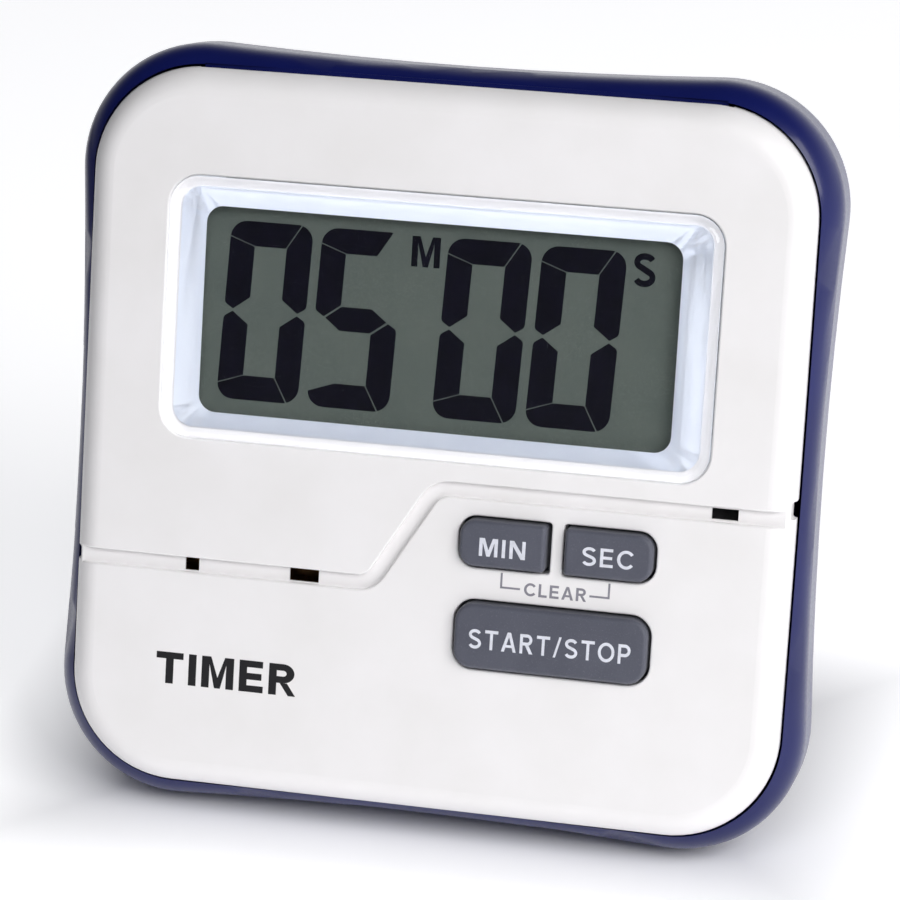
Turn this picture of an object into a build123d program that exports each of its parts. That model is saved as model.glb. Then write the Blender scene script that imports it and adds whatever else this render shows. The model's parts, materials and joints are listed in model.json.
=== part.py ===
from build123d import *
from math import cos, radians, sin, sqrt, tan
import os

os.makedirs("parts", exist_ok=True)

# The timer stands on the lower edge of its case and on the foot of its open stand. The face
# leans back, so every profile is drawn on planes parallel to the face: x to the right, y up
# the face, and depths counted from the face towards the back.

# Driving dimensions, in millimetres and degrees
face_lean = 17.0
leg_lean = 10.5

panel_size = 72.0
panel_corner = 10.8
panel_plate = 2.2
panel_rim = 3.6
panel_rim_wall = 1.5
panel_round = 2.6

case_depth = 16.0
case_waist = 37.45
case_corner_centre = 25.65
case_corner = 12.5
case_front_round = 4.0
case_back_round = 6.0
case_front_plane = 2.0
case_back_wall = 1.8
case_opening_gap = 0.25
cavity_back_round = 4.8

groove_width = 1.5
groove_depth = 0.7
groove_low = -13.35
groove_high = -3.2
groove_bend_low = -5.3
groove_bend_high = 0.85
groove_bend_round = 2.4
groove_floor = 0.3
edge_round = 0.2
slot_height = 1.3
left_slot = (-23.7, 1.45)
middle_slot = (-12.15, 3.0)
right_slot = (29.3, 2.6)

lens_centre = (0.0, 12.5)
lens_width = 55.0
lens_height = 26.0
lens_corner = 3.0
lens_proud = 0.5
lens_thickness = 1.6
lens_edge_round = 0.9
window_centre = (-0.15, 12.4)
window_width = 47.4
window_height = 20.5
window_corner = 1.7
mask_thickness = 0.15

glass_thickness = 1.0
glass_width = 50.8
glass_top = 23.3
glass_bottom = -0.9
contact_ledge = 2.2
polariser_thickness = 0.2

key_left = 3.34
key_right = 23.04
key_split = 1.2
small_key_top = -5.55
small_key_bottom = -10.72
wide_key_top = -13.86
wide_key_bottom = -20.9
key_corner = 1.8
key_sharp_corner = 0.35
wide_key_corner = 2.1
key_gap = 0.28
min_key_trim = 0.15
key_proud = 0.9
key_edge_round = 0.4
key_flange = 0.45
key_flange_front = 2.3
key_flange_back = 3.1
key_boss_radius = 2.0
pill_radius = 1.6
pill_front = 5.7
pill_thickness = 0.4
mat_thickness = 1.2
mat_width = 23.6
mat_height = 18.6
mat_hole_radius = 4.0
web_wall = 0.35
web_front = 4.9
web_back = 6.3
web_rim = 0.3
web_clearance = 0.03

board_front = 7.0
board_thickness = 1.2
board_half_width = 32.5
board_top = 23.9
board_bottom = -24.0
board_back = board_front + board_thickness

buzzer_centre = (-17.5, -14.3)
buzzer_radius = 10.0
buzzer_front = 3.2
buzzer_wall = 1.3
buzzer_ledge = 1.0
chamber_radius = 8.8
piezo_thickness = 0.2
ceramic_radius = 7.0

battery_radius = 5.25
battery_length = 44.5
battery_v = 30.4
battery_depth = 8.6
battery_left = -23.9
battery_right = battery_left + battery_length
trough_left = -25.4
trough_right = 26.5
trough_wall = 1.1
trough_low = 24.25
trough_front = 2.3
trough_step_width = 1.0
trough_step_depth = 0.65
contact_thickness = 0.3
spring_radius = 3.0
spring_wire = 0.3

door_left = -26.2
door_right = 27.2
door_bottom = 24.6
door_thickness = 1.5
door_gap = 0.12
door_tongue = 0.8
door_tongue_thickness = 0.6

pin_v = 18.0
pin_depth = 14.0
pin_radius = 0.8
barrel_radius = 1.8
leg_width = 29.2
leg_inner = -0.5
leg_outer = 1.9
leg_corner = 3.0
leg_edge_round = 0.5
recess_half_width = 15.1
recess_depth = 13.4
recess_wall = 1.4
recess_foot = -35.2
housing_margin = 2.0

magnet_radius = 6.0
magnet_thickness = 1.8
magnet_u = 23.3
magnet_v = -10.0
magnet_front = 14.4

case_screw_places = [(-31.2, 28.6), (31.2, 28.6), (-29.5, -29.5), (29.5, -29.5)]
board_screw_places = [(-30.0, 20.0), (30.0, 20.0), (-30.0, -21.0), (30.0, -21.0)]
case_post_front = 8.4
case_post_radius = 2.9
case_post_bore = 1.2
case_screw_head = 13.0
case_head_bore = 2.1
case_boss_radius = 2.5
case_boss_bore = 1.13
case_boss_bore_front = 3.6
board_boss_radius = 2.2
board_boss_bore = 0.93
board_boss_bore_front = 3.2

# Stance: height and place of the face's centre, and of the hinge pin
lean_cos = cos(radians(face_lean))
lean_sin = sin(radians(face_lean))
leg_cos = cos(radians(leg_lean))
leg_sin = sin(radians(leg_lean))
case_bulge = case_corner_centre + case_corner
face_z = (
    (case_bulge - case_back_round) * lean_cos
    + (case_depth - case_back_round) * lean_sin
    + case_back_round
)
pin_z = face_z + pin_v * lean_cos - pin_depth * lean_sin
front_reach = (panel_size / 2 - panel_round) * lean_sin - panel_round * lean_cos + panel_round
back_reach = (
    pin_v * lean_sin
    + pin_depth * lean_cos
    + pin_z * tan(radians(leg_lean))
    + leg_outer / leg_cos
)
face_y = (front_reach - back_reach) / 2
pin_y = face_y + pin_v * lean_sin + pin_depth * lean_cos

FACE = Plane(origin=(0, face_y, face_z), x_dir=(1, 0, 0), z_dir=(0, -lean_cos, lean_sin))
OUTWARD = Axis((0, 0, 0), (0, -lean_cos, lean_sin))


def at(depth):
    """Plane parallel to the face, a depth behind it."""
    return FACE.offset(-depth)


def face_point(u, v, depth=0.0):
    """Point of the assembly at u across, v up the face and a depth behind it."""
    return FACE.from_local_coords(Vector(u, v, -depth))


def section(u, v):
    """Plane through an axis square to the face: x is the radius, y the depth."""
    return Plane(origin=face_point(u, v), x_dir=(1, 0, 0), z_dir=FACE.y_dir)


def side_section(u):
    """Plane square to x at a place u: x runs up the face, y is the depth."""
    return Plane(origin=face_point(u, 0), x_dir=FACE.y_dir, z_dir=(-1, 0, 0))


def save(builder, name):
    """Label a finished piece and write its STEP file."""
    builder.part.label = name
    export_step(builder.part, f"parts/{name}.step")


def edges_between(edges, low, high):
    """Edges whose middles lie between two heights up the face, clear of the panel's border."""
    middles = [(edge, FACE.to_local_coords(edge.center())) for edge in edges]
    flat_edge = panel_size / 2 - panel_round - 0.2
    return [edge for edge, middle in middles if low < middle.Y < high and abs(middle.X) < flat_edge]


def case_outline():
    """Square with bulged corners and slightly hollow sides."""
    waist_gap = case_waist - case_corner_centre
    side_radius = (case_corner_centre**2 + waist_gap**2 - case_corner**2) / (
        2 * (case_corner - waist_gap)
    )
    reach = case_corner / (side_radius + case_corner)
    tangent_u = case_corner_centre * (1 - reach)
    tangent_v = case_corner_centre + (side_radius + waist_gap) * reach
    corner_mid = case_corner_centre + case_corner / sqrt(2)
    with BuildSketch() as outline:
        with BuildLine():
            for turn in range(0, 360, 90):
                corner_start = Vector(tangent_v, tangent_u).rotate(Axis.Z, turn)
                corner_middle = Vector(corner_mid, corner_mid).rotate(Axis.Z, turn)
                corner_end = Vector(tangent_u, tangent_v).rotate(Axis.Z, turn)
                side_middle = Vector(0, case_waist).rotate(Axis.Z, turn)
                next_start = Vector(-tangent_u, tangent_v).rotate(Axis.Z, turn)
                ThreePointArc(corner_start, corner_middle, corner_end)
                ThreePointArc(corner_end, side_middle, next_start)
        make_face()
    return outline.sketch


def key_outline(left, right, bottom, top, left_round, right_round, grow=0.0, trim=0.0):
    """Outline of a key with its own corner rounding at each side, trimmed at the right."""
    with BuildSketch() as outline:
        with Locations(((left + right - trim) / 2, (bottom + top) / 2)):
            Rectangle(right - left - trim + 2 * grow, top - bottom + 2 * grow)
        fillet(outline.vertices().group_by(Axis.X)[0], max(left_round + grow, key_sharp_corner))
        fillet(outline.vertices().group_by(Axis.X)[-1], max(right_round + grow, key_sharp_corner))
    return outline.sketch


# Key layout: outline of the well with its corner rounds, trim of the cap, boss places
key_middle = (key_left + key_right) / 2
min_key_right = key_middle - key_split / 2
sec_key_left = key_middle + key_split / 2
small_key_v = (small_key_top + small_key_bottom) / 2
wide_key_v = (wide_key_top + wide_key_bottom) / 2
min_u = (key_left + min_key_right) / 2
sec_u = (sec_key_left + key_right) / 2
keys = {
    "min": (
        (key_left, min_key_right, small_key_bottom, small_key_top, key_corner, key_sharp_corner),
        min_key_trim,
        [(min_u, small_key_v)],
    ),
    "sec": (
        (sec_key_left, key_right, small_key_bottom, small_key_top, key_sharp_corner, key_corner),
        0.0,
        [(sec_u, small_key_v)],
    ),
    "start_stop": (
        (key_left, key_right, wide_key_bottom, wide_key_top, wide_key_corner, wide_key_corner),
        0.0,
        [(min_u, wide_key_v), (sec_u, wide_key_v)],
    ),
}
boss_places = [place for outline, trim, places in keys.values() for place in places]

# Front panel: white plate with a rim, lens recess, key wells, groove, sound slots and bosses
lens_recess_depth = lens_thickness - lens_proud + mask_thickness
with BuildPart() as front_panel:
    with BuildSketch(at(0)):
        RectangleRounded(panel_size, panel_size, panel_corner)
    extrude(amount=-panel_rim)
    fillet(front_panel.edges().group_by(OUTWARD)[-1], panel_round)
    with BuildSketch(at(panel_plate)):
        inner_size = panel_size - 2 * panel_rim_wall
        RectangleRounded(inner_size, inner_size, panel_corner - panel_rim_wall)
    extrude(amount=-panel_rim, mode=Mode.SUBTRACT)
    # Decorative groove: level, up a diagonal, and level again, with rounded edges
    with BuildSketch(at(0)):
        with BuildLine() as groove_path:
            FilletPolyline(
                (-panel_size / 2 - 1, groove_low),
                (groove_bend_low, groove_low),
                (groove_bend_high, groove_high),
                (panel_size / 2 + 1, groove_high),
                radius=groove_bend_round,
            )
        trace(groove_path.line, line_width=groove_width)
    extrude(amount=-groove_depth, mode=Mode.SUBTRACT)
    groove_zone = (groove_low - groove_width, groove_high + groove_width)
    fillet(edges_between(front_panel.edges().group_by(OUTWARD)[-1], *groove_zone), edge_round)
    # Lens recess and key wells, with softened edges
    with BuildSketch(at(0)):
        with Locations(lens_centre):
            RectangleRounded(lens_width + 0.2, lens_height + 0.2, lens_corner + 0.1)
    extrude(amount=-lens_recess_depth, mode=Mode.SUBTRACT)
    for outline, trim, places in keys.values():
        with BuildSketch(at(0)):
            add(key_outline(*outline))
        extrude(amount=-panel_rim, mode=Mode.SUBTRACT)
    front_faces = front_panel.faces().group_by(OUTWARD)[-1]
    inner_wires = [wire for face in front_faces for wire in face.inner_wires()]
    fillet([edge for wire in inner_wires for edge in wire.edges()], edge_round)
    with BuildSketch(at(0)):
        with Locations(window_centre):
            RectangleRounded(window_width + 1.2, window_height + 1.1, window_corner)
    extrude(amount=-panel_rim, mode=Mode.SUBTRACT)
    # The panel is thinner behind the slots: over the sound chamber and over the coil
    with BuildSketch(at(groove_depth + groove_floor)):
        with Locations(buzzer_centre):
            Circle(chamber_radius)
        with Locations((right_slot[0], groove_high)):
            RectangleRounded(right_slot[1] + 2.4, slot_height + 2.4, 0.5)
    extrude(amount=-panel_rim, mode=Mode.SUBTRACT)
    # Sound slots in the groove, and small notches where it meets the panel's edges
    with BuildSketch(at(0)):
        with Locations((left_slot[0], groove_low)):
            Rectangle(left_slot[1], slot_height)
        with Locations((middle_slot[0], groove_low)):
            Rectangle(middle_slot[1], slot_height)
        with Locations((right_slot[0], groove_high)):
            Rectangle(right_slot[1], slot_height - 0.2)
        with Locations((-panel_size / 2, groove_low)):
            RectangleRounded(1.3, 1.5, 0.3)
        with Locations((panel_size / 2, groove_high + 0.8)):
            RectangleRounded(0.9, 1.8, 0.3)
    extrude(amount=-panel_rim, mode=Mode.SUBTRACT)
    # Bosses for the case screws and the board screws
    with BuildSketch(at(panel_plate)):
        with Locations(*case_screw_places):
            Circle(case_boss_radius)
    extrude(amount=-(case_post_front - panel_plate))
    with BuildSketch(at(panel_plate)):
        with Locations(*board_screw_places):
            Circle(board_boss_radius)
    extrude(amount=-(board_front - panel_plate))
    with BuildSketch(at(case_post_front)):
        with Locations(*case_screw_places):
            Circle(case_boss_bore)
    extrude(amount=case_post_front - case_boss_bore_front, mode=Mode.SUBTRACT)
    with BuildSketch(at(board_front)):
        with Locations(*board_screw_places):
            Circle(board_boss_bore)
    extrude(amount=board_front - board_boss_bore_front, mode=Mode.SUBTRACT)
    # Sound chamber: a ring that centres the buzzer disc, with a ledge under the disc
    with BuildSketch(at(panel_plate)):
        with Locations(buzzer_centre):
            Circle(buzzer_radius + buzzer_wall)
            Circle(buzzer_radius + 0.05, mode=Mode.SUBTRACT)
    extrude(amount=-(buzzer_front + 1.0 - panel_plate))
    with BuildSketch(at(panel_plate)):
        with Locations(buzzer_centre):
            Circle(buzzer_radius + 0.1)
            Circle(buzzer_radius - buzzer_ledge, mode=Mode.SUBTRACT)
    extrude(amount=-(buzzer_front - panel_plate))
    # Gap in the rim for the battery trough
    with BuildSketch(at(panel_plate + 0.05)):
        with Locations(((trough_left + trough_right) / 2, panel_size / 2)):
            Rectangle(trough_right - trough_left + 1.2, 4.0)
    extrude(amount=-panel_rim, mode=Mode.SUBTRACT)
save(front_panel, "front_panel")

# Display: clear lens, printed mask, polariser, two glass plates, reflector, holder, connector
with BuildPart() as display_lens:
    with BuildSketch(at(-lens_proud)):
        with Locations(lens_centre):
            RectangleRounded(lens_width, lens_height, lens_corner)
    extrude(amount=-lens_thickness)
    fillet(display_lens.edges().group_by(OUTWARD)[-1], lens_edge_round)
save(display_lens, "display_lens")

with BuildPart() as lens_mask:
    with BuildSketch(at(lens_thickness - lens_proud)):
        with Locations(lens_centre):
            RectangleRounded(lens_width - 2.2, lens_height - 2.1, lens_corner - 1.0)
        with Locations(window_centre):
            RectangleRounded(window_width, window_height, window_corner, mode=Mode.SUBTRACT)
    extrude(amount=-mask_thickness)
save(lens_mask, "lens_mask")

polariser_front = panel_plate + 0.1
front_glass_depth = polariser_front + polariser_thickness
rear_glass_depth = front_glass_depth + glass_thickness
reflector_depth = rear_glass_depth + glass_thickness
reflector_back = reflector_depth + polariser_thickness
glass_height = glass_top - glass_bottom
glass_v = (glass_top + glass_bottom) / 2
rear_glass_height = glass_height - contact_ledge
rear_glass_v = glass_v + contact_ledge / 2

with BuildPart() as lcd_front_polariser:
    with BuildSketch(at(polariser_front)):
        with Locations((0, rear_glass_v)):
            Rectangle(glass_width - 1.0, rear_glass_height - 0.4)
    extrude(amount=-polariser_thickness)
save(lcd_front_polariser, "lcd_front_polariser")

with BuildPart() as lcd_front_glass:
    with BuildSketch(at(front_glass_depth)):
        with Locations((0, glass_v)):
            Rectangle(glass_width, glass_height)
    extrude(amount=-glass_thickness)
save(lcd_front_glass, "lcd_front_glass")

with BuildPart() as lcd_rear_glass:
    with BuildSketch(at(rear_glass_depth)):
        with Locations((0, rear_glass_v)):
            Rectangle(glass_width, rear_glass_height)
    extrude(amount=-glass_thickness)
save(lcd_rear_glass, "lcd_rear_glass")

with BuildPart() as lcd_reflector:
    with BuildSketch(at(reflector_depth)):
        with Locations((0, rear_glass_v)):
            Rectangle(glass_width - 1.0, rear_glass_height - 0.4)
    extrude(amount=-polariser_thickness)
save(lcd_reflector, "lcd_reflector")

holder_width = 54.0
holder_bottom = glass_bottom - 1.5
holder_top = glass_top + 0.85
holder_v = (holder_top + holder_bottom) / 2
holder_shelf = reflector_back + 0.05
holder_shelf_back = holder_shelf + 0.9
zebra_v = glass_bottom + contact_ledge / 2
zebra_width = 46.0
zebra_height = 1.7
with BuildPart() as lcd_holder:
    with BuildSketch(at(front_glass_depth)):
        with Locations((0, holder_v)):
            RectangleRounded(holder_width, holder_top - holder_bottom, 0.6)
    extrude(amount=-(board_front - front_glass_depth))
    with BuildSketch(at(front_glass_depth)):
        with Locations((0, glass_v)):
            Rectangle(glass_width + 0.1, glass_height + 0.1)
    extrude(amount=-(holder_shelf - front_glass_depth), mode=Mode.SUBTRACT)
    with BuildSketch(at(holder_shelf_back)):
        with Locations((0, glass_v)):
            Rectangle(glass_width + 0.1, glass_height + 0.1)
    extrude(amount=-(board_front - holder_shelf_back), mode=Mode.SUBTRACT)
    with BuildSketch(at(front_glass_depth)):
        with Locations((0, zebra_v)):
            Rectangle(zebra_width + 0.2, zebra_height + 0.2)
    extrude(amount=-board_front, mode=Mode.SUBTRACT)
save(lcd_holder, "lcd_holder")

with BuildPart() as zebra_strip:
    with BuildSketch(at(rear_glass_depth)):
        with Locations((0, zebra_v)):
            Rectangle(zebra_width, zebra_height)
    extrude(amount=-(board_front - rear_glass_depth))
save(zebra_strip, "zebra_strip")

# Keys: silicone caps with a retaining flange and bosses, carbon pills, flexing webs, mat
for key_name, (outline, trim, places) in keys.items():
    with BuildPart() as key:
        with BuildSketch(at(-key_proud)):
            add(key_outline(*outline, grow=-key_gap, trim=trim))
        extrude(amount=-(key_flange_front + key_proud))
        fillet(key.edges().group_by(OUTWARD)[-1], key_edge_round)
        with BuildSketch(at(key_flange_front)):
            add(key_outline(*outline, grow=key_flange))
        extrude(amount=-(key_flange_back - key_flange_front))
        with BuildSketch(at(key_flange_back)):
            with Locations(*places):
                Circle(key_boss_radius)
        extrude(amount=-(pill_front - key_flange_back))
    save(key, f"{key_name}_key")

    with BuildPart() as pill:
        with BuildSketch(at(pill_front)):
            with Locations(*places):
                Circle(pill_radius)
        extrude(amount=-pill_thickness)
    save(pill, f"{key_name}_pill")

    with BuildPart() as web:
        for u, v in places:
            with BuildSketch(section(u, v)):
                with BuildLine():
                    Polyline(
                        (key_boss_radius + web_clearance, web_front),
                        (key_boss_radius + web_clearance, web_front + web_wall),
                        (mat_hole_radius - web_rim, web_back + web_wall),
                        (mat_hole_radius - web_clearance, web_back + web_wall),
                        (mat_hole_radius - web_clearance, web_back),
                        (mat_hole_radius - web_rim, web_back),
                        close=True,
                    )
                make_face()
            revolve(axis=Axis(face_point(u, v), FACE.z_dir), revolution_arc=360)
    save(web, f"{key_name}_web")

with BuildPart() as keypad_mat:
    with BuildSketch(at(board_front - mat_thickness)):
        with Locations((key_middle, (small_key_top + wide_key_bottom) / 2)):
            RectangleRounded(mat_width, mat_height, 2.0)
        with Locations(*boss_places):
            Circle(mat_hole_radius, mode=Mode.SUBTRACT)
    extrude(amount=-mat_thickness)
save(keypad_mat, "keypad_mat")

# Circuit board and what is soldered to it
with BuildPart() as main_board:
    with BuildSketch(at(board_front)):
        with Locations((0, (board_top + board_bottom) / 2)):
            RectangleRounded(2 * board_half_width, board_top - board_bottom, 1.5)
        with Locations(*board_screw_places):
            Circle(1.1, mode=Mode.SUBTRACT)
    extrude(amount=-board_thickness)
save(main_board, "main_board")

with BuildPart() as chip_blob:
    with BuildSketch(at(board_back)):
        with Locations((6.0, 6.0)):
            Circle(4.5)
    extrude(amount=-1.5)
    fillet(chip_blob.edges().group_by(OUTWARD)[0], 1.35)
save(chip_blob, "chip_blob")

with BuildPart() as quartz_crystal:
    with BuildSketch(side_section(-12.0)):
        with Locations((9.0, board_back + 1.05)):
            Circle(1.0)
    extrude(amount=6.0)
    with BuildSketch(side_section(-18.0)):
        with Locations((8.6, board_back + 1.05), (9.4, board_back + 1.05)):
            Circle(0.2)
    extrude(amount=2.0)
save(quartz_crystal, "quartz_crystal")

with BuildPart() as chip_capacitors:
    with BuildSketch(at(board_back)):
        with Locations((-14.0, 2.0), (-14.0, -2.0), (14.0, -3.0), (18.0, 4.0)):
            Rectangle(2.0, 1.25)
    extrude(amount=-1.1)
    chamfer(chip_capacitors.edges().group_by(OUTWARD)[0], 0.12)
save(chip_capacitors, "chip_capacitors")

with BuildPart() as chip_resistors:
    with BuildSketch(at(board_back)):
        with GridLocations(3.2, 2.4, 2, 3):
            Rectangle(1.6, 0.8)
    extrude(amount=-0.45)
save(chip_resistors, "chip_resistors")

coil_place = (right_slot[0], groove_high)
coil_front = 2.9
with BuildPart() as coil_core:
    with BuildSketch(at(coil_front)):
        with Locations(coil_place):
            Circle(2.0)
    extrude(amount=-0.7)
    with BuildSketch(at(coil_front)):
        with Locations(coil_place):
            Circle(1.0)
    extrude(amount=-(board_front - coil_front))
    with BuildSketch(at(board_front - 0.9)):
        with Locations(coil_place):
            Circle(2.0)
    extrude(amount=-0.9)
save(coil_core, "coil_core")

with BuildPart() as coil_winding:
    with BuildSketch(at(coil_front + 0.75)):
        with Locations(coil_place):
            Circle(1.8)
            Circle(1.05, mode=Mode.SUBTRACT)
    extrude(amount=-(board_front - coil_front - 1.7))
save(coil_winding, "coil_winding")

# Buzzer: brass plate with a ceramic disc, joined to the board by two leaf contacts
with BuildPart() as piezo_plate:
    with BuildSketch(at(buzzer_front)):
        with Locations(buzzer_centre):
            Circle(buzzer_radius)
    extrude(amount=-piezo_thickness)
save(piezo_plate, "piezo_plate")

with BuildPart() as piezo_ceramic:
    with BuildSketch(at(buzzer_front + piezo_thickness)):
        with Locations(buzzer_centre):
            Circle(ceramic_radius)
    extrude(amount=-piezo_thickness)
save(piezo_ceramic, "piezo_ceramic")

with BuildPart() as buzzer_contacts:
    ceramic_back = buzzer_front + 2 * piezo_thickness
    plate_back = buzzer_front + piezo_thickness
    for offset, tip_depth in ((-1.0, ceramic_back), (9.0, plate_back)):
        with BuildSketch(section(buzzer_centre[0] + offset, buzzer_centre[1])):
            with BuildLine() as leaf:
                FilletPolyline(
                    (-2.2, board_front - 0.09),
                    (0.0, board_front - 0.09),
                    (-1.4, tip_depth + 0.09),
                    (0.6, tip_depth + 0.09),
                    radius=0.35,
                )
            trace(leaf.line, line_width=0.16)
        extrude(amount=0.8, both=True)
save(buzzer_contacts, "buzzer_contacts")

with BuildPart() as board_screws:
    with BuildSketch(at(board_back)):
        with Locations(*board_screw_places):
            Circle(1.7)
    extrude(amount=-1.1)
    fillet(board_screws.edges().group_by(OUTWARD)[0], 0.4)
    with BuildSketch(at(board_back)):
        with Locations(*board_screw_places):
            Circle(0.9)
    extrude(amount=board_back - 3.8)
    with BuildSketch(at(board_back + 1.1)):
        with Locations(*board_screw_places):
            Rectangle(1.8, 0.4)
            Rectangle(0.4, 1.8)
    extrude(amount=0.6, mode=Mode.SUBTRACT)
save(board_screws, "board_screws")

# Rear case: bulged shell with the battery trough, stand recess, magnet pockets and posts
with BuildPart() as case_envelope:
    with BuildSketch(at(case_front_plane)):
        add(case_outline())
    extrude(amount=-(case_depth - case_front_plane))
    fillet(case_envelope.edges().group_by(OUTWARD)[-1], case_front_round)
    fillet(case_envelope.edges().group_by(OUTWARD)[0], case_back_round)

with BuildPart() as case_cavity:
    with BuildSketch(at(0)):
        opening = panel_size + 2 * case_opening_gap
        RectangleRounded(opening, opening, panel_corner + case_opening_gap)
    extrude(amount=-(case_depth - case_back_wall))
    fillet(case_cavity.edges().group_by(OUTWARD)[0], cavity_back_round)

trough_middle = (trough_left + trough_right) / 2
trough_width = trough_right - trough_left
recess_top = pin_v + barrel_radius + 0.5
housing_front = pin_depth - barrel_radius - 1.5
door_front = case_depth - door_thickness
contact_tab_v = 22.0
with BuildPart() as rear_case:
    add(case_envelope.part)
    add(case_cavity.part, mode=Mode.SUBTRACT)
    # Battery trough, open at the back
    trough_top = panel_size / 2 + case_opening_gap + 0.1
    with BuildSketch(at(trough_front)):
        with Locations((trough_middle, (trough_low + trough_top) / 2)):
            Rectangle(trough_width, trough_top - trough_low)
    extrude(amount=-(door_front - trough_front))
    # Step along the trough's top edge that carries on the gap round the front panel
    with BuildSketch(at(trough_front)):
        with Locations((trough_middle, trough_top - trough_step_width / 2)):
            Rectangle(trough_width, trough_step_width)
    extrude(amount=-trough_step_depth, mode=Mode.SUBTRACT)
    inner_low = trough_low + 0.8
    inner_top = battery_v + battery_radius + 0.05
    with BuildSketch(at(trough_front + 0.9)):
        with Locations((trough_middle, (inner_low + inner_top) / 2)):
            Rectangle(trough_width - 2 * trough_wall, inner_top - inner_low)
    extrude(amount=-case_depth, mode=Mode.SUBTRACT)
    # Slots that let the two battery contacts reach the board
    with BuildSketch(at(board_back - 0.1)):
        contact_slot = contact_thickness + 0.1
        with Locations(
            (trough_left + trough_wall + contact_slot / 2, trough_low),
            (trough_right - trough_wall - contact_slot / 2, trough_low),
        ):
            Rectangle(contact_slot, 2.4)
    extrude(amount=-2.2, mode=Mode.SUBTRACT)
    # Floor and hinge housing of the stand recess
    with BuildSketch(at(recess_depth - recess_wall)):
        with Locations((0, (recess_top + recess_foot) / 2)):
            Rectangle(2 * (recess_half_width + housing_margin), recess_top - recess_foot)
    extrude(amount=-(recess_wall + 0.05))
    with BuildSketch(at(housing_front)):
        with Locations((0, pin_v - 0.1)):
            Rectangle(2 * (recess_half_width + housing_margin), 2 * barrel_radius + 4.4)
    extrude(amount=-(case_depth - 1.0 - housing_front))
    with BuildSketch(at(recess_depth)):
        with Locations((0, (recess_top - 44.0) / 2)):
            Rectangle(2 * recess_half_width, recess_top + 44.0)
    extrude(amount=-case_depth, mode=Mode.SUBTRACT)
    with BuildSketch(at(pin_depth - barrel_radius - 0.3)):
        with Locations((0, pin_v - 0.1)):
            Rectangle(2 * recess_half_width, 2 * barrel_radius + 1.2)
    extrude(amount=-case_depth, mode=Mode.SUBTRACT)
    with BuildSketch(side_section(recess_half_width + 1.7)):
        with Locations((pin_v, pin_depth)):
            Circle(pin_radius + 0.03)
    extrude(amount=2 * (recess_half_width + 1.7), mode=Mode.SUBTRACT)
    # Magnet pockets on inner bosses
    with BuildSketch(at(magnet_front - 1.2)):
        with Locations((-magnet_u, magnet_v), (magnet_u, magnet_v)):
            Circle(magnet_radius + 1.2)
    extrude(amount=-1.3)
    with BuildSketch(at(magnet_front)):
        with Locations((-magnet_u, magnet_v), (magnet_u, magnet_v)):
            Circle(magnet_radius + 0.05)
    extrude(amount=-case_depth, mode=Mode.SUBTRACT)
    # Posts for the case screws
    with BuildSketch(at(case_post_front)):
        with Locations(*case_screw_places):
            Circle(case_post_radius)
    extrude(amount=-(case_depth - 1.0 - case_post_front))
    with BuildSketch(at(case_post_front)):
        with Locations(*case_screw_places):
            Circle(case_post_bore)
    extrude(amount=-case_depth, mode=Mode.SUBTRACT)
    with BuildSketch(at(case_screw_head)):
        with Locations(*case_screw_places):
            Circle(case_head_bore)
    extrude(amount=-case_depth, mode=Mode.SUBTRACT)
    # Opening for the battery door, with a groove at each side for its tongues
    with BuildSketch(at(door_front - 0.02)):
        with Locations(((door_left + door_right) / 2, door_bottom - door_gap + 10.0)):
            Rectangle(door_right - door_left + 2 * door_gap, 20.0)
    extrude(amount=-case_depth, mode=Mode.SUBTRACT)
    with BuildSketch(at(door_front - 0.02)):
        with Locations(((door_left + door_right) / 2, door_bottom - door_gap + 10.0)):
            Rectangle(door_right - door_left + 2 * (door_tongue + door_gap), 20.0)
    extrude(amount=-(door_tongue_thickness + 0.1), mode=Mode.SUBTRACT)
save(rear_case, "rear_case")

# Battery, its contacts and its door
battery_centre = face_point(0, battery_v, battery_depth)
with BuildPart() as battery_can:
    with BuildSketch(Plane(battery_centre, x_dir=(1, 0, 0), z_dir=FACE.y_dir)):
        with BuildLine():
            Polyline(
                (battery_left, 0),
                (battery_left, 1.9),
                (battery_left + 0.9, 1.9),
                (battery_left + 0.9, battery_radius - 0.4),
                (battery_left + 1.3, battery_radius - 0.1),
                (battery_right - 0.4, battery_radius - 0.1),
                (battery_right, battery_radius - 0.5),
                (battery_right, 0),
                close=True,
            )
        make_face()
    revolve(axis=Axis(battery_centre, (1, 0, 0)), revolution_arc=360)
save(battery_can, "battery_can")

with BuildPart() as battery_jacket:
    with BuildSketch(side_section(battery_right - 0.5)):
        with Locations((battery_v, battery_depth)):
            Circle(battery_radius)
            Circle(battery_radius - 0.1, mode=Mode.SUBTRACT)
    extrude(amount=battery_length - 2.0)
save(battery_jacket, "battery_jacket")


def battery_contact(right_face):
    """Spring-steel plate in the trough's end, with a tab down to the back of the board."""
    with BuildPart() as contact:
        with BuildSketch(side_section(right_face)):
            with Locations((battery_v, battery_depth)):
                Rectangle(8.4, 8.0)
            with Locations(((battery_v + contact_tab_v) / 2 - 1.0, board_back + 1.0)):
                Rectangle(battery_v - contact_tab_v - 2.0, 2.0)
        extrude(amount=contact_thickness)
    return contact


positive_contact = battery_contact(battery_left)
save(positive_contact, "positive_contact")
negative_contact = battery_contact(trough_right - trough_wall)
save(negative_contact, "negative_contact")

spring_end = trough_right - trough_wall - contact_thickness - spring_wire - 0.02
with BuildPart() as negative_spring:
    with BuildLine() as coil_line:
        Helix(
            pitch=1.15,
            height=spring_end - battery_right - spring_wire - 0.02,
            radius=spring_radius,
            center=battery_centre + Vector(spring_end, 0, 0),
            direction=(-1, 0, 0),
        )
    with BuildSketch(Plane(origin=coil_line.line @ 0, z_dir=coil_line.line % 0)):
        Circle(spring_wire)
    sweep(path=coil_line.line, is_frenet=True)
save(negative_spring, "negative_spring")

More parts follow.
